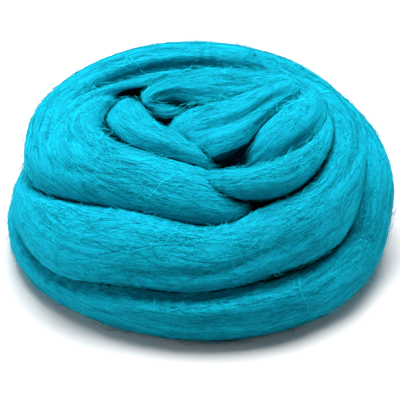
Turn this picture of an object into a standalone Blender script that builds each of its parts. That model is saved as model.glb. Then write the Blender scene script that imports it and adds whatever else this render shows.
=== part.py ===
"""Combed wool roving wound by hand into a loose nest, as one fused solid.

One sliver of wool is followed from its hidden tail on the table, round the
stacked turns and through the loops that close the middle. Each row of a turn
is one section of the sliver. The tables are in millimetres and degrees.
"""
import math

import bmesh
import bpy
import numpy as np

MM = 0.001

NODE_NAME = "roving_coil"
SLIVER_COLOUR = (0.004, 0.43, 0.60)
SLIVER_ROUGHNESS = 0.9

SECTION_STEP = 4.0       # distance between swept sections
SECTION_SIDES = 32       # points round a section
FUSE_VOXEL = 1.2         # grid of the fused surface
THIN_RATIO = 0.038       # share of its triangles that is kept

# Each section: x, y, z of its middle, breadth, depth and lean. Lean turns the
# flat side: 0 lies flat, 90 faces away from the middle of the nest.
HIDDEN_HEART = (
    (10, 4, 10, 10, 10, 0),
    (8, 22, 12, 26, 26, 0),
    (-16, 24, 13, 32, 30, 0),
    (-28, 2, 13, 34, 30, 0),
    (-10, -22, 13, 36, 30, 0),
    (24, -24, 13, 36, 30, 0),
    (48, -6, 13, 36, 30, 0),
    (54, 22, 13, 34, 30, 0),
    (38, 50, 14, 34, 31, 0),
)
FOUNDATION_TURN = (
    (5, 67, 14, 34, 32, 0),
    (-39, 61, 14, 34, 32, 0),
    (-71, 35, 15, 34, 34, 20),
    (-84, 5, 15, 34, 34, 30),
    (-77, -27, 15, 34, 32, 30),
    (-51, -53, 16, 34, 34, 30),
    (-13, -67, 16, 34, 34, 30),
    (25, -65, 16, 34, 34, 30),
    (57, -47, 15, 34, 33, 32),
    (75, -23, 16, 31, 31, 34),
)
OUTER_TURN = (
    (80, -6, 29, 33, 32, 42),
    (81, 8, 39, 34, 31, 40),
    (76, 27, 45, 31, 28, 30),
    (61, 45, 53, 30, 28, 20),
    (39, 61, 59, 30, 28, 20),
    (7, 69, 63, 30, 28, 20),
    (-27, 67, 63, 28, 28, 20),
    (-55, 52, 62, 26, 27, 20),
    (-73, 31, 60, 27, 26, 20),
    (-77, 11, 59, 30, 26, 30),
    (-74, -5, 57.5, 34, 26, 38),
    (-58, -17, 57.5, 33, 26, 40),
    (-33, -25, 58, 35, 24, 33),
    (-6, -33.5, 57.5, 32, 21, 28),
    (17, -34, 51, 24, 18, 25),
)
HIDDEN_LINK = (
    (39, -11, 40, 24, 24, 0),
    (50, 22, 37, 32, 30, 0),
    (24, 55, 38, 34, 32, 0),
    (-20, 59, 38, 34, 32, 0),
    (-55, 38, 37, 32, 30, 0),
)
MIDDLE_TURN = (
    (-77, 9, 38, 36, 30, 40),
    (-80, -17, 38, 38, 28, 42),
    (-62, -43, 38, 44, 27, 40),
    (-31, -54, 40, 46, 26, 38),
    (0, -59, 37, 41, 26, 35),
    (29, -51, 41, 40, 26, 42),
    (53, -35, 44, 38, 26, 44),
    (67, -12, 49, 32, 25, 46),
    (72, 13, 52, 30, 24, 42),
    (66, 34, 57, 28, 24, 20),
    (47, 50, 61, 26, 22, 10),
    (13, 57, 63, 26, 22, 10),
    (-21, 54, 63, 25, 21, 10),
)
INNER_TURN = (
    (-46, 44, 63, 24, 20, 10),
    (-61, 25, 64, 28, 22, 20),
    (-65, 4, 62, 31, 22, 33),
    (-54, -13, 61, 32, 21, 38),
    (-31, -21, 60, 27, 17, 42),
    (-5, -28, 59.5, 18, 17, 44),
    (23, -32, 64, 18, 19, 40),
    (43, -23, 64, 19, 18, 40),
    (56, -4, 65, 17, 16, 40),
    (59, 16, 65, 17, 16, 30),
    (56, 35, 63, 17, 16, 10),
    (37, 49, 56, 18, 16, 0),
    (3, 47, 54, 18, 16, 0),
)
MIDDLE_LOOPS = (
    (-27, 44, 56, 17, 16, 0),
    (-41, 24, 65, 24, 18, 10),
    (-32, 2, 68.5, 22, 18, 20),
    (-14, -9, 67, 17, 16, 20),
    (0, -12, 60, 13, 13, 0),
    (17, -7, 33, 12, 12, 0),
    (26, -9, 57, 17, 14, 10),
    (35, -5, 68, 24, 17, 30),
    (48, 6, 70, 29, 18, 30),
    (52, 25, 70, 25, 17, 20),
    (41, 40, 70, 22, 17, 0),
    (21, 41, 69, 24, 18, -25),
    (1, 41, 69, 26, 18, -25),
    (-17, 40, 69, 16, 15, -20),
    (-29, 33, 66, 12, 13, 0),
    (-21, 29, 62, 12, 12, 0),
    (-6, 35, 60, 13, 13, 0),
    (26, 32, 63, 16, 14, 0),
)
TOP_LOOP = (
    (44, 32, 73, 20, 15, -10),
    (31, 18, 77, 21, 15, -25),
    (16, 5, 75, 29, 15, -25),
    (1, 5, 67, 39, 15, -15),
    (-15, 3, 60, 38, 15, -5),
    (-24, 8, 50, 26, 22, 0),
    (-10, 26, 41, 30, 24, 0),
    (18, 24, 34, 30, 24, 0),
    (24, 0, 30, 26, 22, 0),
    (4, -8, 26, 14, 14, 0),
)
TURNS = (
    HIDDEN_HEART, FOUNDATION_TURN, OUTER_TURN, HIDDEN_LINK,
    MIDDLE_TURN, INNER_TURN, MIDDLE_LOOPS, TOP_LOOP,
)

# Main twists, where the sliver has split lengthwise: the sections between
# which each one runs, its place round the section at both ends, its depth
# and its half width. Place 0 is the outer edge and 90 the top side.
CREASES = (
    (12.0, 17.5, 118, 128, 2.0, 11),
    (14.5, 17.0, 70, 100, 1.6, 9),
    (23.5, 27.0, 125, 105, 2.6, 13),
    (27.5, 31.0, 70, 100, 1.0, 11),
    (41.5, 45.0, 45, 80, 2.2, 9),
    (51.2, 53.7, 175, 72, 3.0, 10),
    (51.0, 52.4, 172, 150, 4.0, 14),
    (27.2, 29.0, 145, 95, 2.0, 10),
    (45.0, 49.0, 120, 60, 2.0, 10),
    (75.0, 77.5, 80, 110, 1.6, 14),
    (83.0, 86.5, 100, 95, 2.2, 12),
)

# Where two turns press on each other, the soft wool gives way and rounds off.
PINCH_DEPTH = 4.0        # how far the skin gives way
PINCH_REACH = 3.5        # distance from the other turn where that starts
FULL_PRESS = 7.0         # overlap of two turns that press fully
BEAD_HALF_LENGTH = 10.0  # half length of one ellipsoid that stands for a stretch
OWN_STRETCH = 55.0       # sliver to each side that counts as the same turn
FANNED = ((18.0, 22.0), (26.0, 34.0), (45.8, 49.0),
          (52.0, 57.6))    # rows where the turns merge in one fan


def clear_scene():
    for old in list(bpy.data.objects):
        bpy.data.objects.remove(old, do_unlink=True)


def make_wool():
    wool = bpy.data.materials.new("combed_wool")
    wool.use_nodes = True
    shader = wool.node_tree.nodes["Principled BSDF"]
    shader.inputs["Base Color"].default_value = (*SLIVER_COLOUR, 1.0)
    shader.inputs["Roughness"].default_value = SLIVER_ROUGHNESS
    shader.inputs["Metallic"].default_value = 0.0
    return wool


def follow_rows(rows):
    """Run a Catmull-Rom curve through the rows, with a section every step.

    Each returned row ends with its place along the table, counted in rows.
    """
    rows = np.array(rows, dtype=float)
    before_first = 2 * rows[0] - rows[1]
    after_last = 2 * rows[-1] - rows[-2]
    padded = np.vstack((before_first, rows, after_last))
    route = []
    for number in range(len(rows) - 1):
        before, start, stop, after = padded[number:number + 4]
        length = np.linalg.norm(stop[:3] - start[:3])
        count = max(2, round(length / SECTION_STEP))
        for t in np.arange(count) / count:
            section = 0.5 * (
                2 * start
                + (stop - before) * t
                + (2 * before - 5 * start + 4 * stop - after) * t ** 2
                + (3 * start - before - 3 * stop + after) * t ** 3
            )
            route.append((*section, number + t))
    route.append((*rows[-1], len(rows) - 1))
    return np.array(route)


def crease_depth(place, angle):
    """How far the main twists draw the skin in, at places and angles."""
    total = np.zeros(np.broadcast(place, angle).shape)
    for first, last, first_side, last_side, depth, half_width in CREASES:
        share = np.clip((place - first) / (last - first), 0, 1)
        side = first_side + share * (last_side - first_side)
        apart = (np.degrees(angle) - side + 180) % 360 - 180
        total += depth * np.sin(np.pi * share) * np.exp(-(apart / half_width) ** 2)
    return total


def frame_of(route):
    """Directions along the sliver and across its leaning ovals."""
    along = np.gradient(route[:, :3], axis=0)
    along /= np.linalg.norm(along, axis=1)[:, None]
    outward = np.cross(along, (0.0, 0.0, 1.0))
    outward /= np.linalg.norm(outward, axis=1)[:, None]
    rise = np.cross(outward, along)
    lean = np.radians(route[:, 5])[:, None]
    wide = outward * np.cos(lean) - rise * np.sin(lean)
    deep = outward * np.sin(lean) + rise * np.cos(lean)
    return along, wide, deep


def gap_to_others(points, route, along, wide, deep):
    """Distance from each point to the nearest other stretch of the sliver.

    A stretch is stood in for by ellipsoids, strung along the route.
    """
    middle = route[:, :3]
    steps = np.linalg.norm(np.diff(middle, axis=0), axis=1)
    travelled = np.concatenate(([0.0], np.cumsum(steps)))
    nearest = np.full(points.shape[:2], 1e3)
    for bead in range(len(route)):
        half_breadth, half_depth = 0.5 * route[bead, 3], 0.5 * route[bead, 4]
        axes = np.stack((wide[bead] / half_breadth, deep[bead] / half_depth,
                         along[bead] / BEAD_HALF_LENGTH), axis=1)
        size = np.linalg.norm((points - middle[bead]) @ axes, axis=2)
        other = np.abs(travelled - travelled[bead]) > OWN_STRETCH
        gap = (size[other] - 1) * min(half_breadth, half_depth)
        nearest[other] = np.minimum(nearest[other], gap)
    return nearest


def pinch_depth(place, gap):
    """How far the skin gives way where another turn presses on it."""
    pressed = np.maximum(-gap, 0.0)
    window = SECTION_SIDES // 8
    pressed = np.max([np.roll(pressed, turn, axis=1)
                      for turn in range(-window, window + 1)], axis=0)
    firmness = np.clip(pressed / FULL_PRESS, 0.0, 1.0)
    for first, last in FANNED:
        inside = np.clip(np.minimum(place - first, last - place), 0, 1)
        firmness = firmness * (1 - inside)
    return PINCH_DEPTH * firmness * np.exp(-(np.maximum(gap, 0.0) / PINCH_REACH) ** 2)


def section_rings():
    """Rings of points round the whole sliver, creased and pressed, in metres."""
    route = follow_rows([row for turn in TURNS for row in turn])
    along, wide, deep = frame_of(route)
    around = math.tau * np.arange(SECTION_SIDES)[None, :] / SECTION_SIDES
    place = route[:, 6][:, None]
    across = (0.5 * route[:, 3][:, None] * np.cos(around))[..., None] * wide[:, None, :]
    across += (0.5 * route[:, 4][:, None] * np.sin(around))[..., None] * deep[:, None, :]
    spoke = across / np.linalg.norm(across, axis=2)[..., None]
    points = route[:, None, :3] + across
    gap = gap_to_others(points, route, along, wide, deep)
    drawn_in = crease_depth(place, around) + pinch_depth(place, gap)
    return (points - drawn_in[..., None] * spoke) * MM


def sweep_sliver():
    """Skin the whole sliver, end to end, with a quad mesh."""
    mesh = bmesh.new()
    rings = [[mesh.verts.new(point) for point in ring] for ring in section_rings()]
    for ring, following in zip(rings, rings[1:]):
        for side in range(SECTION_SIDES):
            beside = (side + 1) % SECTION_SIDES
            mesh.faces.new((ring[side], ring[beside], following[beside], following[side]))
    mesh.faces.new(reversed(rings[0]))
    mesh.faces.new(rings[-1])
    bmesh.ops.recalc_face_normals(mesh, faces=mesh.faces)
    return mesh


def fuse_turns(coil):
    """Join the turns where they press on each other into one thin-meshed skin."""
    fuse = coil.modifiers.new("fuse", "REMESH")
    fuse.mode = "VOXEL"
    fuse.voxel_size = FUSE_VOXEL * MM
    thin = coil.modifiers.new("thin", "DECIMATE")
    thin.ratio = THIN_RATIO
    graph = bpy.context.evaluated_depsgraph_get()
    fused = bpy.data.meshes.new_from_object(coil.evaluated_get(graph))
    coil.modifiers.clear()
    coil.data = fused


def keep_outer_skin(coil):
    """Drop the skins of pockets sealed inside the nest: wool fills them."""
    mesh = bmesh.new()
    mesh.from_mesh(coil.data)
    unseen = set(mesh.verts)
    skins = []
    while unseen:
        skin = {unseen.pop()}
        edge_of_search = set(skin)
        while edge_of_search:
            beside = {edge.other_vert(spot) for spot in edge_of_search for edge in spot.link_edges}
            edge_of_search = beside - skin
            skin |= edge_of_search
        unseen -= skin
        skins.append(skin)
    outer = max(skins, key=len)
    pockets = [spot for spot in mesh.verts if spot not in outer]
    bmesh.ops.delete(mesh, geom=pockets, context="VERTS")
    mesh.to_mesh(coil.data)
    mesh.free()


def bed_down(coil):
    """Press the lowest turn flat at height zero and centre the nest over it."""
    spots = [point.co for point in coil.data.vertices]
    middle_x = 0.5 * (min(spot.x for spot in spots) + max(spot.x for spot in spots))
    middle_y = 0.5 * (min(spot.y for spot in spots) + max(spot.y for spot in spots))
    for spot in spots:
        spot.x -= middle_x
        spot.y -= middle_y
        spot.z = max(spot.z, 0.0)


def make_coil():
    sliver = sweep_sliver()
    skin = bpy.data.meshes.new(NODE_NAME)
    sliver.to_mesh(skin)
    sliver.free()
    coil = bpy.data.objects.new(NODE_NAME, skin)
    bpy.context.collection.objects.link(coil)
    fuse_turns(coil)
    keep_outer_skin(coil)
    bed_down(coil)
    coil.data.materials.clear()
    coil.data.materials.append(make_wool())
    coil.data.shade_smooth()


clear_scene()
make_coil()
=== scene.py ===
# %% [markdown]
# # A nest of combed wool roving
#
# Combed wool comes as a *sliver*: one long, soft strand in which every fibre
# lies the same way. Here a sliver about as thick as a thumb is wound into a
# loose nest. This lesson dresses that nest. It sweeps the sliver along its
# route, lays thousands of fine wisps on it, adds crimped fibres, stray curls
# and fuzz, and lights it on a white table.
#
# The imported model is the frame: it says how big the nest is and where it
# lies. It is loaded first, and nothing below moves it.

# %% Load the frame
import math

import bpy
import numpy as np
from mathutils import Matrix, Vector
from mathutils.bvhtree import BVHTree


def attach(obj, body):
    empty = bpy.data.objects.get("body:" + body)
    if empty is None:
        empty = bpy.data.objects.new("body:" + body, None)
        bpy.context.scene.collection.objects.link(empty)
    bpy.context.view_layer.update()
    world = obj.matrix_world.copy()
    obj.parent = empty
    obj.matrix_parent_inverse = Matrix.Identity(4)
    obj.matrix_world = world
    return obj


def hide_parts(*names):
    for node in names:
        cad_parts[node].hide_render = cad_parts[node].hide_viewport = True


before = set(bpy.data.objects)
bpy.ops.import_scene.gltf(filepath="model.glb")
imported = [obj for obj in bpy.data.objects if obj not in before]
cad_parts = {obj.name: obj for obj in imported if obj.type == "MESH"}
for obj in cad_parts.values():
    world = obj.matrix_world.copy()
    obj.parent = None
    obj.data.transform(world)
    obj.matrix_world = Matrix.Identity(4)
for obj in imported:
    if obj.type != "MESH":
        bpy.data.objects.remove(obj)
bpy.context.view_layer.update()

# %% [markdown]
# ## One small class for node trees
#
# Both shaders and Geometry Nodes are trees of nodes. Wiring them one link at
# a time is long and hard to read, so `Wire` wraps an output socket: an
# expression such as `1 - tone * 0.2` adds the Math nodes that it needs, with
# Vector Math where a vector is involved. Any other node comes from `add`.

# %% Wire, a socket that does arithmetic
class Wire:
    """One output socket of a node tree."""

    def __init__(self, tree, socket):
        self.tree, self.socket = tree, socket

    def also(self, name):
        """Another output of the same node."""
        return Wire(self.tree, self.socket.node.outputs[name])

    def __add__(self, other):
        return maths("ADD", self, other)

    def __sub__(self, other):
        return maths("SUBTRACT", self, other)

    def __rsub__(self, other):
        return maths("SUBTRACT", other, self)

    def __mul__(self, other):
        return maths("MULTIPLY", self, other)

    def __truediv__(self, other):
        return maths("DIVIDE", self, other)

    __radd__, __rmul__ = __add__, __mul__


def add(tree, kind, settings=None, sockets=None, out=0):
    """Add a node: its settings first, then its sockets' values or links."""
    node = tree.nodes.new(kind)
    for name, value in (settings or {}).items():
        setattr(node, name, value)
    for name, value in (sockets or {}).items():
        if isinstance(value, Wire):
            tree.links.new(value.socket, node.inputs[name])
        else:
            node.inputs[name].default_value = value
    return Wire(tree, node.outputs[out])


def is_vector(term):
    if isinstance(term, Wire):
        return term.socket.type in ("VECTOR", "RGBA")
    return isinstance(term, tuple)


def maths(operation, *terms):
    """A Math node, or Vector Math where a term is a vector or a colour."""
    tree = next(term.tree for term in terms if isinstance(term, Wire))
    if not any(is_vector(term) for term in terms):
        return add(tree, "ShaderNodeMath", {"operation": operation},
                   dict(enumerate(terms)))
    spread = [(term,) * 3 if isinstance(term, (int, float)) else term
              for term in terms]
    return add(tree, "ShaderNodeVectorMath", {"operation": operation},
               dict(enumerate(spread)))


print("node helpers ready")

# %% [markdown]
# ## The route of the sliver
#
# Someone wound this nest by hand, so no formula gives its shape. A table
# does: each row is a place that the middle of the sliver passes, how broad
# and deep it is there, and how far it leans outwards. The turns follow each
# other from the heart of the nest on the table to the loop on its top.
# Millimetres and degrees are the easiest to read, so the table uses those.

# %% The turns, row by row: x, y, z, breadth, depth, lean
HIDDEN_HEART = (
    (10, 4, 10, 10, 10, 0),
    (8, 22, 12, 26, 26, 0),
    (-16, 24, 13, 32, 30, 0),
    (-28, 2, 13, 34, 30, 0),
    (-10, -22, 13, 36, 30, 0),
    (24, -24, 13, 36, 30, 0),
    (48, -6, 13, 36, 30, 0),
    (54, 22, 13, 34, 30, 0),
    (38, 50, 14, 34, 31, 0),
)
FOUNDATION_TURN = (
    (5, 67, 14, 34, 32, 0),
    (-39, 61, 14, 34, 32, 0),
    (-71, 35, 15, 34, 34, 20),
    (-84, 5, 15, 34, 34, 30),
    (-77, -27, 15, 34, 32, 30),
    (-51, -53, 16, 34, 34, 30),
    (-13, -67, 16, 34, 34, 30),
    (25, -65, 16, 34, 34, 30),
    (57, -47, 15, 34, 33, 32),
    (75, -23, 16, 31, 31, 34),
)
OUTER_TURN = (
    (80, -6, 29, 33, 32, 42),
    (81, 8, 39, 34, 31, 40),
    (76, 27, 45, 31, 28, 30),
    (61, 45, 53, 30, 28, 20),
    (39, 61, 59, 30, 28, 20),
    (7, 69, 63, 30, 28, 20),
    (-27, 67, 63, 28, 28, 20),
    (-55, 52, 62, 26, 27, 20),
    (-73, 31, 60, 27, 26, 20),
    (-77, 11, 59, 30, 26, 30),
    (-74, -5, 57.5, 34, 26, 38),
    (-58, -17, 57.5, 33, 26, 40),
    (-33, -25, 58, 35, 24, 33),
    (-6, -33.5, 57.5, 32, 21, 28),
    (17, -34, 51, 24, 18, 25),
)
HIDDEN_LINK = (
    (39, -11, 40, 24, 24, 0),
    (50, 22, 37, 32, 30, 0),
    (24, 55, 38, 34, 32, 0),
    (-20, 59, 38, 34, 32, 0),
    (-55, 38, 37, 32, 30, 0),
)
MIDDLE_TURN = (
    (-77, 9, 38, 36, 30, 40),
    (-80, -17, 38, 38, 28, 42),
    (-62, -43, 38, 44, 27, 40),
    (-31, -54, 40, 46, 26, 38),
    (0, -59, 37, 41, 26, 35),
    (29, -51, 41, 40, 26, 42),
    (53, -35, 44, 38, 26, 44),
    (67, -12, 49, 32, 25, 46),
    (72, 13, 52, 30, 24, 42),
    (66, 34, 57, 28, 24, 20),
    (47, 50, 61, 26, 22, 10),
    (13, 57, 63, 26, 22, 10),
    (-21, 54, 63, 25, 21, 10),
)
INNER_TURN = (
    (-46, 44, 63, 24, 20, 10),
    (-61, 25, 64, 28, 22, 20),
    (-65, 4, 62, 31, 22, 33),
    (-54, -13, 61, 32, 21, 38),
    (-31, -21, 60, 27, 17, 42),
    (-5, -28, 59.5, 18, 17, 44),
    (23, -32, 64, 18, 19, 40),
    (43, -23, 64, 19, 18, 40),
    (56, -4, 65, 17, 16, 40),
    (59, 16, 65, 17, 16, 30),
    (56, 35, 63, 17, 16, 10),
    (37, 49, 56, 18, 16, 0),
    (3, 47, 54, 18, 16, 0),
)
MIDDLE_LOOPS = (
    (-27, 44, 56, 17, 16, 0),
    (-41, 24, 65, 24, 18, 10),
    (-32, 2, 68.5, 22, 18, 20),
    (-14, -9, 67, 17, 16, 20),
    (0, -12, 60, 13, 13, 0),
    (17, -7, 33, 12, 12, 0),
    (26, -9, 57, 17, 14, 10),
    (35, -5, 68, 24, 17, 30),
    (48, 6, 70, 29, 18, 30),
    (52, 25, 70, 25, 17, 20),
    (41, 40, 70, 22, 17, 0),
    (21, 41, 69, 24, 18, -25),
    (1, 41, 69, 26, 18, -25),
    (-17, 40, 69, 16, 15, -20),
    (-29, 33, 66, 12, 13, 0),
    (-21, 29, 62, 12, 12, 0),
    (-6, 35, 60, 13, 13, 0),
    (26, 32, 63, 16, 14, 0),
)
TOP_LOOP = (
    (44, 32, 73, 20, 15, -10),
    (31, 18, 77, 21, 15, -25),
    (16, 5, 75, 29, 15, -25),
    (1, 5, 67, 39, 15, -15),
    (-15, 3, 60, 38, 15, -5),
    (-24, 8, 50, 26, 22, 0),
    (-10, 26, 41, 30, 24, 0),
    (18, 24, 34, 30, 24, 0),
    (24, 0, 30, 26, 22, 0),
    (4, -8, 26, 14, 14, 0),
)
TURNS = (HIDDEN_HEART, FOUNDATION_TURN, OUTER_TURN, HIDDEN_LINK,
         MIDDLE_TURN, INNER_TURN, MIDDLE_LOOPS, TOP_LOOP)
rows = np.array([row for turn in TURNS for row in turn], dtype=float)
print(len(rows), "rows from the heart to the top loop")

# %% [markdown]
# ## From rows to one smooth run
#
# Straight lines between the rows would kink. A Catmull-Rom curve passes
# through every row and bends smoothly between them, and it carries breadth,
# depth and lean along with the place.

# %% Smooth the route
MM = 0.001
RING_STEP = 2.9              # mm between swept rings


def follow_rows(rows, step):
    """Sections along the rows; the last column is the place in rows."""
    padded = np.vstack((2 * rows[0] - rows[1], rows, 2 * rows[-1] - rows[-2]))
    route = []
    for number in range(len(rows) - 1):
        before, start, stop, after = padded[number:number + 4]
        count = max(2, round(np.linalg.norm((stop - start)[:3]) / step))
        for t in np.arange(count) / count:
            section = 0.5 * (2 * start + (stop - before) * t
                             + (2 * before - 5 * start + 4 * stop - after) * t ** 2
                             + (3 * start - before - 3 * stop + after) * t ** 3)
            route.append((*section, number + t))
    route.append((*rows[-1], len(rows) - 1))
    return np.array(route)


route = follow_rows(rows, RING_STEP)
middle = route[:, :3]
travelled = np.concatenate(
    ([0.0], np.cumsum(np.linalg.norm(np.diff(middle, axis=0), axis=1))))
sliver_length = travelled[-1]
print(len(route), "rings over", round(sliver_length / 1000, 2), "m of sliver")

# %% [markdown]
# ## Ovals, main twists and locks
#
# A section is an oval that leans outwards. Two kinds of relief shape it. The
# *main twists* are the few places where a turn splits into two or three
# strands, so the skin is drawn in along a line. The *locks* are the shallow
# lengthwise ridges that combing leaves everywhere. Ridges whose phase
# drifts slowly along the sliver never look machine made.
#
# Wool is also rolled a little as it is wound. Where the crown turn dives to
# the front, its fibres fan over to one side. `WINDING` turns the points of
# each ring round the oval there, so the fibres wind and the shape stays.

# %% Relief of the sliver's skin
SIDES = 52                   # points round one ring
# first row, last row, first side, last side, depth in mm, half width
CREASES = (
    (12.0, 17.5, 118, 128, 2.0, 11),
    (14.5, 17.0, 70, 100, 1.6, 9),
    (23.5, 27.0, 125, 105, 2.6, 13),
    (27.5, 31.0, 70, 100, 1.0, 11),
    (41.5, 45.0, 45, 80, 2.2, 9),
    (51.2, 53.7, 175, 72, 3.0, 10),
    (51.0, 52.4, 172, 150, 4.0, 14),
    (27.2, 29.0, 145, 95, 2.0, 10),
    (45.0, 49.0, 120, 60, 2.0, 10),
    (75.0, 77.5, 80, 110, 1.6, 14),
    (83.0, 86.5, 100, 95, 2.2, 12),
)
# ridges round the sliver, height in mm, drift length in mm
LOCKS = ((5, 0.35, 260.0), (9, 0.30, 170.0), (14, 0.22, 120.0), (20, 0.12, 80.0))
LOCK_DRIFT = 2.2             # radians, how far the ridges' phase drifts


def crease_depth(place, angle):
    """How far the main twists draw the skin in, in mm."""
    total = np.zeros(np.broadcast(place, angle).shape)
    for first, last, first_side, last_side, depth, half_width in CREASES:
        share = np.clip((place - first) / (last - first), 0, 1)
        side = first_side + share * (last_side - first_side)
        apart = (np.degrees(angle) - side + 180) % 360 - 180
        total += depth * np.sin(np.pi * share) * np.exp(-(apart / half_width) ** 2)
    return total


def drift(distance, length, seed):
    """A smooth random value along the sliver."""
    knots = np.arange(0, distance[-1] + 2 * length, length)
    values = np.random.default_rng(seed).normal(size=len(knots))
    spot = distance / length
    left = np.clip(spot.astype(int), 0, len(knots) - 2)
    share = spot - left
    share = share * share * (3 - 2 * share)
    return values[left] * (1 - share) + values[left + 1] * share


def lock_height(distance, angle):
    """Height of the lengthwise ridges, in mm."""
    total = np.zeros((len(distance), angle.shape[-1]))
    for number, (ridges, height, length) in enumerate(LOCKS):
        phase = LOCK_DRIFT * drift(distance, length, 10 + number)[:, None]
        fade = 0.6 + 0.4 * drift(distance, length * 0.8, 20 + number)[:, None]
        where = 0.7 + 0.3 * np.cos(2 * angle + 3 * phase)
        total += height * fade * where * np.cos(ridges * angle + ridges ** 0.5 * phase)
    return total


# row, and how far the fibres have wound round the sliver there, in degrees
WINDING = ((28.0, 0), (29.0, -25), (30.5, -85), (31.5, -100))

around = math.tau * np.arange(SIDES)[None, :] / SIDES
place = route[:, 6][:, None]
turned = around + np.radians(np.interp(place, *zip(*WINDING)))
relief = lock_height(travelled, around) - crease_depth(place, turned)
print("relief from", relief.min().round(2), "to", relief.max().round(2), "mm")

# %% Lay out the ovals
along = np.gradient(middle, axis=0)
along /= np.linalg.norm(along, axis=1)[:, None]
outward = np.cross(along, (0.0, 0.0, 1.0))
outward /= np.linalg.norm(outward, axis=1)[:, None]
rise = np.cross(outward, along)
lean = np.radians(route[:, 5])[:, None]
wide = outward * np.cos(lean) - rise * np.sin(lean)
deep = outward * np.sin(lean) + rise * np.cos(lean)
half_breadth, half_depth = 0.5 * route[:, 3], 0.5 * route[:, 4]
reach = ((half_breadth[:, None] * np.cos(turned))[..., None] * wide[:, None, :]
         + (half_depth[:, None] * np.sin(turned))[..., None] * deep[:, None, :])
spoke = reach / np.linalg.norm(reach, axis=2)[..., None]
print("ovals", reach.shape)

# %% [markdown]
# ## Turns that press on each other
#
# Where two turns touch, soft wool gives way: each strand rounds off and
# leaves a deep, narrow furrow between them. So every point measures how near
# it is to any other stretch of the sliver, taken as a chain of ellipsoids,
# and is drawn in towards its own middle where it meets one.

# %% Draw the skin in where turns meet
PINCH_DEPTH = 4.0            # mm that the skin gives way
PINCH_REACH = 3.5            # mm from the other turn where it starts
FULL_PRESS = 7.0             # mm that two turns overlap where they press fully
BEAD_HALF_LENGTH = 10.0      # mm, half length of one ellipsoid of the chain
FANNED = ((18.0, 22.0), (26.0, 34.0), (45.8, 49.0),
          (52.0, 57.6))    # rows where the turns merge in one fan
OWN_STRETCH = 55.0           # mm of sliver to each side that is no other turn


def gap_to_others(points, beads):
    """Distance in mm from each point to the nearest other stretch."""
    nearest = np.full(points.shape[:2], 1e3)
    for bead in beads:
        axes = np.stack((wide[bead] / half_breadth[bead], deep[bead] / half_depth[bead],
                         along[bead] / BEAD_HALF_LENGTH), axis=1)
        size = np.linalg.norm((points - middle[bead]) @ axes, axis=2)
        other = np.abs(travelled - travelled[bead]) > OWN_STRETCH
        gap = (size[other] - 1) * min(half_breadth[bead], half_depth[bead])
        nearest[other] = np.minimum(nearest[other], gap)
    return nearest


gap = gap_to_others(middle[:, None, :] + reach, range(0, len(route), 2))
pressed = np.maximum(-gap, 0.0)
window = SIDES // 8
pressed = np.max([np.roll(pressed, turn, axis=1)
                  for turn in range(-window, window + 1)], axis=0)
firmness = np.clip(pressed / FULL_PRESS, 0.0, 1.0)
for first, last in FANNED:
    inside = np.clip(np.minimum(place - first, last - place), 0, 1)
    firmness = firmness * (1 - inside)
pinch = (PINCH_DEPTH * firmness
         * np.exp(-(np.maximum(gap, 0.0) / PINCH_REACH) ** 2))
rings = (middle[:, None, :] + reach + (relief - pinch)[..., None] * spoke) * MM
rings[..., :2] -= 0.5 * (rings.min(axis=(0, 1)) + rings.max(axis=(0, 1)))[:2]
rings[..., 2] = np.maximum(rings[..., 2], 0.0)
print("rings span", np.ptp(rings.reshape(-1, 3), axis=0).round(4), "m")

# %% [markdown]
# ## The sliver as one closed mesh
#
# The rings become quads, and a fan closes each end, so the skin is whole.
# Each corner gets two maps. `winding` unrolls the sliver: how far along and
# how far round, both from 0 to 1. The wisps are laid out on it later.
# `OFBake` cuts the same unrolled strip into shelves that fill a square, so
# that a baked picture of the wool has room for its fine streaks. `lay` holds
# metres along the strand and a circle round it, for streaks without a seam.

# %% Build the sliver
SHELVES = 4                  # strips of the unrolled sliver in its baked map
SHELF_ROOM = 0.98            # share of the map for them; the ends take the rest
STRAND_RADIUS = 0.016        # m, a mean radius for the streaks' pattern
SHELF_MARGIN = 0.005         # free share at each edge of a shelf
SHELF_FILL = 0.99            # the share between the edges
END_RADIUS = 0.008           # size of a closed end in the map
END_SPOTS = ((0.01, 0.991), (0.03, 0.991))


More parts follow.
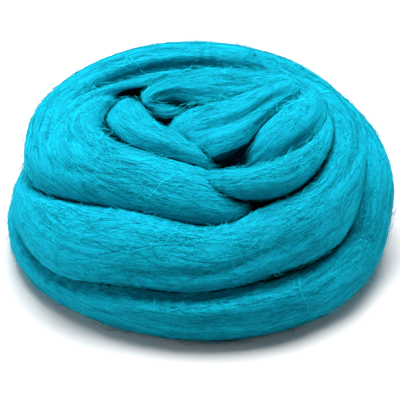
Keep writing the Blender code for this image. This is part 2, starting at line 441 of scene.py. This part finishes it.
def sweep_mesh(name, rings):
    """Quads between rings, and a fan over each end."""
    count, sides = rings.shape[:2]
    ring, side = np.meshgrid(np.arange(count - 1), np.arange(sides), indexing="ij")
    ring, side = ring.ravel(), side.ravel()
    after = (side + 1) % sides
    quads = np.stack((ring * sides + side, (ring + 1) * sides + side,
                      (ring + 1) * sides + after, ring * sides + after), axis=1)
    first, last = count * sides, count * sides + 1
    spots = np.arange(sides)
    top = (count - 1) * sides
    start_fan = np.stack((np.full(sides, first), spots, (spots + 1) % sides), axis=1)
    end_fan = np.stack((np.full(sides, last), top + (spots + 1) % sides, top + spots),
                       axis=1)
    points = np.vstack((rings.reshape(-1, 3), rings[0].mean(0), rings[-1].mean(0)))
    mesh = bpy.data.meshes.new(name)
    faces = quads.tolist() + start_fan.tolist() + end_fan.tolist()
    mesh.from_pydata(points.tolist(), [], faces)
    mesh.polygons.foreach_set("use_smooth", np.ones(len(faces), dtype=bool))

    # how far along and round each quad's four corners are
    along_corner = np.stack((ring, ring + 1, ring + 1, ring), axis=1)
    round_corner = np.stack((side, side, side + 1, side + 1), axis=1)
    winding = np.stack((along_corner / (count - 1), round_corner / sides), axis=2)
    per_shelf = math.ceil((count - 1) / SHELVES)
    shelf = ring // per_shelf
    baked = np.stack(((along_corner - (shelf * per_shelf)[:, None]) / per_shelf,
                      (shelf[:, None] + SHELF_MARGIN + SHELF_FILL * round_corner / sides)
                      / SHELVES * SHELF_ROOM), axis=2)
    angles = math.tau * (spots + np.array([[0], [1]])) / sides
    rim = np.stack((np.cos(angles), np.sin(angles)), axis=2) * END_RADIUS
    fans = []
    for centre in END_SPOTS:
        middle_corner = np.zeros((sides, 2))
        fans.append(np.stack((middle_corner, rim[0], rim[1]), axis=1) + centre)
    for title, quad_map in (("winding", winding), ("OFBake", baked)):
        layer = mesh.uv_layers.new(name=title)
        whole = np.vstack([quad_map.reshape(-1, 2)] + [f.reshape(-1, 2) for f in fans])
        layer.data.foreach_set("uv", whole.astype(np.float32).ravel())
    return mesh


count = len(rings)
sliver_mesh = sweep_mesh("roving_sliver", rings)
angle = np.broadcast_to(around, rings.shape[:2])
lay = np.stack((np.broadcast_to(travelled[:, None] * MM, angle.shape),
                STRAND_RADIUS * np.cos(angle), STRAND_RADIUS * np.sin(angle)), axis=2)
lay = np.vstack((lay.reshape(-1, 3), (0, 0, 0), (sliver_length * MM, 0, 0)))
sliver_mesh.attributes.new("lay", "FLOAT_VECTOR", "POINT").data.foreach_set(
    "vector", lay.astype(np.float32).ravel())
print("sliver mesh has", len(sliver_mesh.polygons), "faces")

# %% [markdown]
# ## How open each spot lies
#
# Deep in a furrow little light gets in, so the wool's colour is painted almost
# black there, far deeper than its dye: painted shade, on top of the shade that
# the lamps cast. Rays sent out from every point of the skin tell how much of
# its sky is free, and the painted shade uses that share.

# %% Measure the openness
SKY_RAYS = 40
SKY_REACH = 0.030            # m; nothing farther off counts as cover
SKY_START = 0.0005           # m above the skin
GRAZING = 0.05               # rays flatter than this along the skin don't count
SPREAD = 0.2                 # share that each spot takes from its neighbour


def sky_directions(count):
    """Directions spread evenly over a ball."""
    turn = math.pi * (3 - math.sqrt(5)) * np.arange(count)
    height = 1 - (2 * np.arange(count) + 1) / count
    flat = np.sqrt(1 - height ** 2)
    return np.stack((flat * np.cos(turn), flat * np.sin(turn), height), axis=1)


def open_share(mesh, ring_shape):
    """Share of the sky that each point of the rings sees, from 0 to 1."""
    spots = np.empty((len(mesh.vertices), 3), dtype=np.float32)
    mesh.vertices.foreach_get("co", spots.ravel())
    facing = np.empty_like(spots)
    mesh.vertices.foreach_get("normal", facing.ravel())
    corners = [tuple(face.vertices) for face in mesh.polygons]
    cover = BVHTree.FromPolygons(spots.tolist(), corners)
    ways = sky_directions(SKY_RAYS)
    weights = facing @ ways.T
    starts = (spots + facing * SKY_START).tolist()
    rays = [Vector(way) for way in ways]
    free = np.zeros(len(spots))
    for number, start in enumerate(starts):
        seen = total = 0.0
        for way in np.nonzero(weights[number] > GRAZING)[0]:
            total += weights[number, way]
            if cover.ray_cast(start, rays[way], SKY_REACH)[0] is None:
                seen += weights[number, way]
        free[number] = seen / max(total, 1e-6)
    count = ring_shape[0] * ring_shape[1]
    round_off = free[:count].reshape(ring_shape)
    for axis, turn in ((0, 1), (0, -1), (1, 1), (1, -1)):
        neighbour = np.roll(round_off, turn, axis=axis)
        round_off = (1 - SPREAD) * round_off + SPREAD * neighbour
    free[:count] = round_off.ravel()
    return free


# this share of free sky drives the painted furrow shade of both wool materials
openness = open_share(sliver_mesh, rings.shape[:2])
sliver_mesh.attributes.new("openness", "FLOAT", "POINT").data.foreach_set(
    "value", openness.astype(np.float32))
print("openness from", openness.min().round(2), "to", openness.max().round(2))

# %% Put the sliver into the scene
sliver = bpy.data.objects.new("roving_sliver", sliver_mesh)
bpy.context.scene.collection.objects.link(sliver)
print("sliver has", 2 * (count - 1) * SIDES + 2 * SIDES, "triangles")

# %% [markdown]
# ## Dyed, combed wool
#
# Wool takes an acid dye evenly, yet each fibre scatters light a little
# differently, so the strand shows fine streaks along its lie: some deeper,
# some paler. The colour mixes a deep and a pale turquoise by noise that is
# stretched along the strand, and the same noise raises the skin in a bump.
# A fine grain adds the specks where single fibres catch the light, and a
# little sheen gives the soft rim that fibre has.
#
# The wisps use the same recipe, but each one carries its own tone. A tube as
# thin as a fibre would show a dark side of its own, so a wisp is lit with
# the way the sliver faces under it, and it reads as part of the surface.

# %% Colours and finish of the wool
DEEP = (0.0015, 0.19, 0.29, 1.0)
PALE = (0.0035, 0.40, 0.55, 1.0)
PAINTED_FURROW_SHADE = (0.0010, 0.008, 0.016, 1.0)   # painted shade: the wool's colour at the bottom of a furrow
PAINTED_SHADE_BELOW, OPEN_FROM = 0.34, 0.58   # shares of free sky
# patches of each pattern per metre, along the strand and then across it
SWAY_SCALE = (25.0, 60.0, 60.0)
FINE_SCALE = (40.0, 1700.0, 1700.0)
COARSE_SCALE = (14.0, 380.0, 380.0)
GRAIN_SCALE = (1300.0, 1300.0, 1300.0)
SWAY = (0.0, 0.003, 0.003)   # m that a streak strays across the strand
BUMP_HEIGHT = 0.0004         # m
WOOL_FINISH = {"IOR": 1.45, "Specular IOR Level": 0.03, "Sheen Weight": 0.15,
               "Sheen Roughness": 0.45, "Sheen Tint": (0.0, 0.85, 1.0, 1.0)}


def start_material(name):
    """A new material with its shader's fixed finish already set."""
    material = bpy.data.materials.new(name)
    material.use_nodes = True
    shader = material.node_tree.nodes["Principled BSDF"]
    for title, value in WOOL_FINISH.items():
        shader.inputs[title].default_value = value
    return material, material.node_tree, shader


def mix_colours(tree, factor, low, high):
    """From one colour to another, and past them where the factor is."""
    return add(tree, "ShaderNodeMix", {"data_type": "RGBA", "clamp_factor": False},
               {"Factor": factor, 6: low, 7: high}, out=2)


def noise(tree, vector):
    """Smooth random values; the vector's own scale sets how fine they are."""
    return add(tree, "ShaderNodeTexNoise", None,
               {"Vector": vector, "Scale": 1.0, "Detail": 2.0, "Roughness": 0.5})


def steeper(wire, gain):
    """Spread a noise, which stays near one half, over 0 to 1."""
    return add(wire.tree, "ShaderNodeClamp", None, {"Value": (wire - 0.5) * gain + 0.5})


def grain(tree):
    """Tiny pale and deep specks, where single fibres catch the light."""
    spot = add(tree, "ShaderNodeTexCoord", out="Object")
    return steeper(noise(tree, spot * GRAIN_SCALE), 2.5) - 0.5


def paint_furrow_shade(tree, colour):
    """Painted shade: let the colour sink to almost black where little sky is free."""
    free = add(tree, "ShaderNodeAttribute", {"attribute_name": "openness"}, out=2)
    lit = add(tree, "ShaderNodeClamp", None,
              {"Value": (free - PAINTED_SHADE_BELOW) * (1 / (OPEN_FROM - PAINTED_SHADE_BELOW))})
    return mix_colours(tree, lit, PAINTED_FURROW_SHADE, colour)


print("wool finish ready")

# %% The sliver's material
material, tree, shader = start_material("combed wool")
lay_wire = add(tree, "ShaderNodeAttribute", {"attribute_name": "lay"}, out=1)
sway = add(tree, "ShaderNodeTexNoise", None,
           {"Vector": lay_wire * SWAY_SCALE, "Scale": 1.0}, out=1)
swayed = lay_wire + (sway - 0.5) * SWAY
fine = steeper(noise(tree, swayed * FINE_SCALE), 2.2)
coarse = steeper(noise(tree, swayed * COARSE_SCALE), 2.2)
streak = fine * 0.6 + coarse * 0.4 + grain(tree) * 0.5
# painted shade: the dyed colour sinks to almost black in the furrows
dye_and_painted_shade = paint_furrow_shade(tree, mix_colours(tree, streak, DEEP, PALE))
tree.links.new(dye_and_painted_shade.socket, shader.inputs["Base Color"])
tree.links.new((0.72 + streak * 0.16).socket, shader.inputs["Roughness"])
bump = add(tree, "ShaderNodeBump", None,
           {"Height": fine * 0.5 + coarse, "Strength": 0.6, "Distance": BUMP_HEIGHT})
tree.links.new(bump.socket, shader.inputs["Normal"])
sliver_mesh.materials.append(material)
print("combed wool has", len(tree.nodes), "nodes")

# %% The wisps' material
wisp_material, tree, shader = start_material("combed wool wisps")
tone = add(tree, "ShaderNodeAttribute", {"attribute_name": "tone"}, out=2)
# painted shade: a wisp's colour sinks to almost black in the furrows it lies in
dye_and_painted_shade = paint_furrow_shade(tree, mix_colours(tree, tone + grain(tree) * 0.6, DEEP, PALE))
tree.links.new(dye_and_painted_shade.socket, shader.inputs["Base Color"])
tree.links.new((0.70 + tone * 0.15).socket, shader.inputs["Roughness"])
facing = add(tree, "ShaderNodeAttribute", {"attribute_name": "facing"}, out=1)
facing = add(tree, "ShaderNodeVectorTransform",
             {"vector_type": "NORMAL", "convert_from": "OBJECT", "convert_to": "WORLD"},
             {"Vector": facing})
tree.links.new(facing.socket, shader.inputs["Normal"])
print("wisp material has", len(tree.nodes), "nodes")

# %% [markdown]
# ## Wisps laid along the sliver
#
# A few dozen fibres that cling together make a *wisp*, the finest thing the
# eye still picks out. Modelling them one by one is out of the question, so
# Geometry Nodes lay them. Each wisp starts at a random spot of the unrolled
# sliver and runs along it, with a little wander, and Sample UV Surface
# winds it back onto the real strand. Wisps that would lie deep inside the
# nest are thrown away first: only what reaches the outer skin stays.

# %% Small helpers for Geometry Nodes
TUBE_SIDES = 3
TIP_SHARE = 0.25             # thickness of a wisp's tip, as a share of its middle
FULLNESS = 0.4               # lower keeps a wisp thick for longer


def start_tree(name, sizes):
    """A geometry tree with named inputs; returns it and a wire for each."""
    tree = bpy.data.node_groups.new(name, "GeometryNodeTree")
    tree.interface.new_socket("Geometry", in_out="OUTPUT",
                              socket_type="NodeSocketGeometry")
    for title, kind in sizes:
        tree.interface.new_socket(title, in_out="INPUT", socket_type="NodeSocket" + kind)
    entry = tree.nodes.new("NodeGroupInput")
    return tree, {title: Wire(tree, entry.outputs[title]) for title, _ in sizes}


def scatter(tree, low, high, seed):
    """A random number for each element."""
    return add(tree, "FunctionNodeRandomValue", {"data_type": "FLOAT"},
               {2: low, 3: high, "Seed": seed}, out=1)


def store(tree, geometry, title, kind, value):
    """Give every point a named value."""
    return add(tree, "GeometryNodeStoreNamedAttribute",
               {"data_type": kind, "domain": "POINT"},
               {"Geometry": geometry, "Name": title, "Value": value})


def stored(tree, title, kind):
    """Read a named value back."""
    return add(tree, "GeometryNodeInputNamedAttribute", {"data_type": kind},
               {"Name": title})


def geometry_of(tree, item):
    return add(tree, "GeometryNodeObjectInfo", {"transform_space": "ORIGINAL"},
               {"Object": item}, out="Geometry")


def nearest_on(tree, skin, spot):
    """The nearest place of a skin and the way it faces there."""
    near = add(tree, "GeometryNodeProximity", {"target_element": "FACES"},
               {"Geometry": skin, "Sample Position": spot})
    facing = add(tree, "GeometryNodeSampleNearestSurface",
                 {"data_type": "FLOAT_VECTOR"},
                 {"Mesh": skin, "Sample Position": spot,
                  "Value": add(tree, "GeometryNodeInputNormal")})
    return near, facing


def run_along(tree, vector, way):
    """How far a vector runs along a direction."""
    return add(tree, "ShaderNodeVectorMath", {"operation": "DOT_PRODUCT"},
               {0: vector, 1: way}, out="Value")


def scaled(tree, vector, factor):
    return add(tree, "ShaderNodeVectorMath", {"operation": "SCALE"},
               {0: vector, "Scale": factor})


def grow(tree, points, steps, thickness, flatness, place_of, material_wire):
    """Turn every point into a tapered tube whose course place_of gives."""
    line = add(tree, "GeometryNodeCurvePrimitiveLine")
    line = add(tree, "GeometryNodeResampleCurve", None, {"Curve": line, "Count": steps})
    course = add(tree, "GeometryNodeInstanceOnPoints", None,
                 {"Points": points, "Instance": line})
    course = add(tree, "GeometryNodeRealizeInstances", None, {"Geometry": course})
    share = add(tree, "GeometryNodeSplineParameter")
    place, facing, free = place_of(share)
    course = store(tree, course, "openness", "FLOAT", free)
    course = store(tree, course, "facing", "FLOAT_VECTOR", facing)
    course = store(tree, course, "middle", "FLOAT_VECTOR", place)
    course = add(tree, "GeometryNodeSetPosition", None,
                 {"Geometry": course, "Position": place})
    bulge = maths("POWER", share * (1 - share) * 4, FULLNESS)
    profile = add(tree, "GeometryNodeCurvePrimitiveCircle", None,
                  {"Resolution": TUBE_SIDES, "Radius": 0.5})
    tube = add(tree, "GeometryNodeCurveToMesh", None,
               {"Curve": course, "Profile Curve": profile, "Fill Caps": True,
                "Scale": thickness * (TIP_SHARE + (1 - TIP_SHARE) * bulge)})
    facing = stored(tree, "facing", "FLOAT_VECTOR")
    above = run_along(tree, add(tree, "GeometryNodeInputPosition")
                      - stored(tree, "middle", "FLOAT_VECTOR"), facing)
    tube = add(tree, "GeometryNodeSetPosition", None,
               {"Geometry": tube, "Offset": scaled(tree, facing, above * flatness * -1.0)})
    tube = add(tree, "GeometryNodeRemoveAttribute", None,
               {"Geometry": tube, "Name": "middle"})
    tube = add(tree, "GeometryNodeRealizeInstances", None, {"Geometry": tube})
    tube = add(tree, "GeometryNodeSetMaterial", None,
               {"Geometry": tube, "Material": material_wire})
    tree.links.new(tube.socket, tree.nodes.new("NodeGroupOutput").inputs[0])


print("geometry helpers ready")

# %% The tree that winds wisps
WISP_SIZES = (("Sliver", "Object"), ("Skin", "Object"), ("Material", "Material"),
              ("Count", "Int"), ("Seed", "Int"), ("Steps", "Int"),
              ("Length", "Float"), ("Thickness", "Float"), ("Slant", "Float"),
              ("Wander", "Float"), ("Waves", "Float"), ("Lift", "Float"),
              ("Rise", "Float"), ("Flatness", "Float"), ("Pale From", "Float"),
              ("Pale To", "Float"), ("Sliver Length", "Float"), ("Sink", "Float"),
              ("Floor", "Float"))
SMALLEST, LARGEST = 0.55, 1.25   # range of a wisp's size
SPRING_FROM = 0.42           # sway above this lifts a wisp off the skin
SPRING_GAIN = 3.0
DRIFT_SHARE = 0.04           # of the wander, along the sliver
FAR_AWAY = -9.0              # m, a bound that no wisp reaches
winder, size = start_tree("wind wisps", WISP_SIZES)
strand, skin = geometry_of(winder, size["Sliver"]), geometry_of(winder, size["Skin"])
winding_map = stored(winder, "winding", "FLOAT_VECTOR")


def on_sliver(value, spot, kind="FLOAT_VECTOR"):
    return add(winder, "GeometryNodeSampleUVSurface", {"data_type": kind},
               {"Mesh": strand, "Value": value, "UV Map": winding_map,
                "Sample UV": spot})


def wound(along_share, round_share):
    """The place on the nest of a spot of the unrolled sliver, how it faces
    there and how open it lies."""
    inside = add(winder, "ShaderNodeClamp", None,
                 {"Value": along_share, "Min": 0.0005, "Max": 0.9995})
    spot = add(winder, "ShaderNodeCombineXYZ", None,
               {"X": inside, "Y": maths("FRACT", round_share)})
    return (on_sliver(add(winder, "GeometryNodeInputPosition"), spot),
            on_sliver(add(winder, "GeometryNodeInputNormal"), spot),
            on_sliver(stored(winder, "openness", "FLOAT"), spot, "FLOAT"))


points = add(winder, "GeometryNodePoints", None, {"Count": size["Count"]})
dice = add(winder, "FunctionNodeRandomValue", {"data_type": "FLOAT_VECTOR"},
           {"Seed": size["Seed"]})
points = store(winder, points, "start", "FLOAT_VECTOR", dice)
points = store(winder, points, "tone", "FLOAT",
               scatter(winder, size["Pale From"], size["Pale To"], size["Seed"] + 1.0))
points = store(winder, points, "size", "FLOAT",
               scatter(winder, SMALLEST, LARGEST, size["Seed"] + 2.0))
start = add(winder, "ShaderNodeSeparateXYZ", None,
            {"Vector": stored(winder, "start", "FLOAT_VECTOR")})
own_size = stored(winder, "size", "FLOAT")
reach_share = size["Length"] * own_size / size["Sliver Length"]


def depth_under_skin(share):
    """How far under the nest's outer skin a wisp lies, or 1 on the floor."""
    place, _, _ = wound(start + reach_share * (share - 0.5), start.also("Y"))
    near, facing = nearest_on(winder, skin, place)
    under = run_along(winder, near - place, facing)
    height = add(winder, "ShaderNodeSeparateXYZ", None, {"Vector": place}, out="Z")
    return maths("MAXIMUM", under, maths("LESS_THAN", height, size["Floor"]))


shallowest = depth_under_skin(0.0)
for share in (0.5, 1.0):
    shallowest = maths("MINIMUM", shallowest, depth_under_skin(share))
points = add(winder, "GeometryNodeDeleteGeometry", {"domain": "POINT"},
             {"Geometry": points,
              "Selection": maths("GREATER_THAN", shallowest, size["Sink"])})


def wisp_course(share):
    """Along the sliver with a slant and a wander, lifted a little."""
    run = share - 0.5
    seed_spot = add(winder, "ShaderNodeCombineXYZ", None,
                    {"X": start.also("Z") * 9000.0, "Y": start.also("Y") * 700.0,
                     "Z": share * size["Waves"]})
    sway = add(winder, "ShaderNodeTexNoise", None,
               {"Vector": seed_spot, "Scale": 1.0, "Detail": 1.0}, out="Color")
    sway = add(winder, "ShaderNodeSeparateXYZ", None, {"Vector": sway})
    slant = maths("FRACT", stored(winder, "tone", "FLOAT") * 7.31) - 0.5
    round_share = (start.also("Y") + (sway - 0.5) * size["Wander"]
                   + run * slant * size["Slant"])
    along_share = (start + reach_share * run
                   + (sway.also("Z") - 0.5) * size["Wander"] * DRIFT_SHARE)
    place, facing, free = wound(along_share, round_share)
    spring = maths("MAXIMUM", sway.also("Y") - SPRING_FROM, 0.0) * (0.4 + own_size)
    raised = scaled(winder, facing, size["Lift"] * (SPRING_GAIN * spring)
                    + size["Rise"] * own_size * share * share)
    floor = add(winder, "ShaderNodeCombineXYZ", None,
                {"X": FAR_AWAY, "Y": FAR_AWAY, "Z": size["Thickness"] * 0.6})
    return maths("MAXIMUM", place + raised, floor), facing, free


grow(winder, points, size["Steps"], size["Thickness"] * own_size, size["Flatness"],
     wisp_course, size["Material"])
print("wind wisps has", len(winder.nodes), "nodes")

# %% [markdown]
# ## Running a tree and keeping its mesh
#
# The modifier's inputs are set before the object is evaluated, the result
# becomes a plain mesh, and the modifier goes. Every wisp then gets its own
# small cell in the `OFBake` map, so a baked picture keeps its tone.

# %% Run a tree, then give each wisp a cell of the map
def run_tree(name, tree, inputs):
    """A plain mesh object of what a geometry tree makes."""
    holder = bpy.data.objects.new(name, bpy.data.meshes.new(name))
    bpy.context.scene.collection.objects.link(holder)
    modifier = holder.modifiers.new("grow", "NODES")
    modifier.node_group = tree
    ids = {item.name: item.identifier for item in tree.interface.items_tree
           if item.in_out == "INPUT"}
    for title, value in inputs.items():
        modifier[ids[title]] = value
    made = bpy.data.meshes.new_from_object(
        holder.evaluated_get(bpy.context.evaluated_depsgraph_get()))
    holder.modifiers.clear()
    holder.data = made
    made.name = name
    made.polygons.foreach_set("use_smooth", np.ones(len(made.polygons), dtype=bool))
    return holder


def lay_out_cells(mesh, steps):
    """One cell of the baked map for each tube, unrolled along and round."""
    corners = np.zeros(len(mesh.loops), dtype=int)
    mesh.loops.foreach_get("vertex_index", corners)
    totals = np.zeros(len(mesh.polygons), dtype=int)
    mesh.polygons.foreach_get("loop_total", totals)
    face = np.repeat(np.arange(len(totals)), totals)
    starts = np.concatenate(([0], np.cumsum(totals)[:-1]))
    tube, spot = corners // (steps * TUBE_SIDES), corners % (steps * TUBE_SIDES)
    ring, side = spot // TUBE_SIDES, spot % TUBE_SIDES
    most = np.maximum.reduceat(side, starts)[face]
    least = np.minimum.reduceat(side, starts)[face]
    side = np.where((totals[face] == 4) & (most == 2) & (least == 0) & (side == 0),
                    TUBE_SIDES, side)
    cap = totals[face] == 3
    cells = math.ceil(math.sqrt(tube.max() + 1))
    u = np.where(cap, 0.90 + 0.08 * (side == 1), 0.02 + 0.84 * ring / (steps - 1))
    far_end = np.where(ring > 0, 0.5, 0.0)
    v = np.where(cap, 0.05 + far_end + 0.4 * (side == 2),
                 0.04 + 0.92 * side / TUBE_SIDES)
    uv = np.stack(((tube % cells + u) / cells, (tube // cells + v) / cells), axis=1)
    layer = mesh.uv_layers.new(name="OFBake")
    layer.data.foreach_set("uv", uv.astype(np.float32).ravel())
    mesh.uv_layers.active = layer


def triangles(mesh):
    """Triangles of the mesh once its faces are split."""
    return len(mesh.loops) - 2 * len(mesh.polygons)


print("tree runner ready")

# %% Lay the wisps
coil_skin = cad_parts["roving_coil"]
COMMON = {"Sliver": sliver, "Skin": coil_skin, "Material": wisp_material,
          "Sliver Length": sliver_length * MM, "Floor": 0.0015}
LAID_PIECES = 2
LAID = {"Count": 8100, "Steps": 5, "Length": 0.026, "Thickness": 0.00030,
        "Slant": 0.16, "Wander": 0.05, "Waves": 1.6, "Lift": 0.0002, "Rise": 0.0,
        "Flatness": 0.8, "Pale From": 0.1, "Pale To": 1.0, "Sink": 0.0014}
dressing = []
for number in range(LAID_PIECES):
    piece = run_tree(f"laid_wisps_{number + 1}", winder,
                     {**COMMON, **LAID, "Seed": 100 + 10 * number})
    lay_out_cells(piece.data, LAID["Steps"])
    dressing.append(piece)
    print(piece.name, triangles(piece.data), "triangles")

# %% [markdown]
# ## Crimped fibres over the lay
#
# Wool is crimped, so single fibres spring up from the combed surface and
# cross it at all angles. The same tree makes them: thinner, with a wider
# wander and a higher lift. A few long stray curls stand off the skin, and
# short fuzz rises at one end, which softens the nest's rim. The wisps below
# are pressed flat against the skin, these less, and curls and fuzz stay
# round.

# %% Crimped fibres
# Their tones start paler than the laid wisps': painted highlight, for single fibres that
# catch the light and glow at the rim.
CRIMPED = {"Count": 6600, "Steps": 7, "Length": 0.011, "Thickness": 0.00019,
           "Slant": 0.30, "Wander": 0.14, "Waves": 3.0, "Lift": 0.0007, "Rise": 0.0,
           "Flatness": 0.5, "Pale From": 1.0, "Pale To": 2.6, "Sink": 0.0012}
CURLS = {"Count": 900, "Steps": 16, "Length": 0.016, "Thickness": 0.00016,
         "Slant": 0.20, "Wander": 0.45, "Waves": 4.0, "Lift": 0.0026, "Rise": 0.0010,
         "Flatness": 0.0, "Pale From": 1.6, "Pale To": 3.0, "Sink": 0.0004}
FUZZ = {"Count": 7400, "Steps": 5, "Length": 0.0095, "Thickness": 0.00019,
        "Slant": 0.25, "Wander": 0.16, "Waves": 2.5, "Lift": 0.0012, "Rise": 0.0021,
        "Flatness": 0.0, "Pale From": 0.9, "Pale To": 2.2, "Sink": 0.0006}
FIBRES = (("crimped_fibres_1", CRIMPED, 500), ("crimped_fibres_2", CRIMPED, 550),
          ("stray_curls", CURLS, 600), ("fuzz", FUZZ, 700))
for title, sizes, seed in FIBRES:
    piece = run_tree(title, winder, {**COMMON, **sizes, "Seed": seed})
    lay_out_cells(piece.data, sizes["Steps"])
    dressing.append(piece)
    print(piece.name, triangles(piece.data), "triangles")

# %% Pieces ride the root and replace the imported coil
sliver_mesh.uv_layers.remove(sliver_mesh.uv_layers["winding"])
for piece in [sliver] + dressing:
    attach(piece, "root")
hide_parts("roving_coil")
print(1 + len(dressing), "pieces")

# %% [markdown]
# ## Table, light and camera
#
# The nest lies on a white table under one large, soft overhead light, which
# stands a little behind it, so that the tops of the turns are bright and
# the front of the lowest turn falls into shade. Two small, weak lights, low
# on the left and right, lift the sides. The camera looks down at about 38
# degrees from well back, which keeps the perspective flat.

# %% White table
FLOOR_HALF = 3.0
floor_mesh = bpy.data.meshes.new("white_table")
floor_mesh.from_pydata([(-FLOOR_HALF, -FLOOR_HALF, 0), (FLOOR_HALF, -FLOOR_HALF, 0),
                        (FLOOR_HALF, FLOOR_HALF, 0), (-FLOOR_HALF, FLOOR_HALF, 0)],
                       [], [(0, 1, 2, 3)])
table = bpy.data.objects.new("white_table", floor_mesh)
bpy.context.scene.collection.objects.link(table)
paint = bpy.data.materials.new("white paint")
paint.use_nodes = True
paint_shader = paint.node_tree.nodes["Principled BSDF"]
paint_shader.inputs["Base Color"].default_value = (0.66, 0.66, 0.66, 1.0)
paint_shader.inputs["Roughness"].default_value = 0.9
floor_mesh.materials.append(paint)
print("table", 2 * FLOOR_HALF, "m wide")

# %% Soft light
scene = bpy.context.scene
scene.view_settings.view_transform = "Standard"
NEST_MIDDLE = Vector((0, 0, 0.03))
STUDIO_GLOW = 0.05           # strength of the even light from all round


def soft_light(name, place, width, watts):
    """A square area light that looks at the middle of the nest."""
    lamp = bpy.data.lights.new(name, "AREA")
    lamp.shape, lamp.size, lamp.energy = "SQUARE", width, watts
    holder = bpy.data.objects.new(name, lamp)
    scene.collection.objects.link(holder)
    holder.location = place
    holder.rotation_euler = (NEST_MIDDLE - Vector(place)).to_track_quat(
        "-Z", "Y").to_euler()


# name, place in m, width in m, watts
SOFTBOXES = (("overhead softbox", (-0.05, 0.28, 1.0), 0.9, 29.5),
             ("left softbox", (-1.0, -0.1, 0.20), 0.35, 6.5),
             ("right softbox", (1.0, 0.0, 0.20), 0.35, 4.0))
for softbox in SOFTBOXES:
    soft_light(*softbox)
world = bpy.data.worlds.new("studio")
scene.world = world
world.use_nodes = True
world.node_tree.nodes["Background"].inputs["Color"].default_value = (1, 1, 1, 1)
world.node_tree.nodes["Background"].inputs["Strength"].default_value = STUDIO_GLOW
print(len(SOFTBOXES), "soft lights")

# %% Camera
VIEW_HEIGHT_DEG = 38.0
VIEW_DISTANCE = 1.6
VIEW_WIDTH = 0.208           # m of the scene across the picture at the aim
SENSOR_WIDTH = 36.0          # mm
AIM = Vector((-0.0003, 0.0147, 0.0186))
lens = bpy.data.cameras.new("camera")
camera = bpy.data.objects.new("camera", lens)
scene.collection.objects.link(camera)
rise_angle = math.radians(VIEW_HEIGHT_DEG)
away = Vector((0, -math.cos(rise_angle), math.sin(rise_angle)))
camera.location = AIM + away * VIEW_DISTANCE
camera.rotation_euler = (-away).to_track_quat("-Z", "Y").to_euler()
lens.sensor_width = SENSOR_WIDTH
lens.lens = SENSOR_WIDTH * VIEW_DISTANCE / VIEW_WIDTH
lens.clip_start, lens.clip_end = 0.05, 10.0
scene.camera = camera
print("camera", [round(value, 3) for value in camera.location])
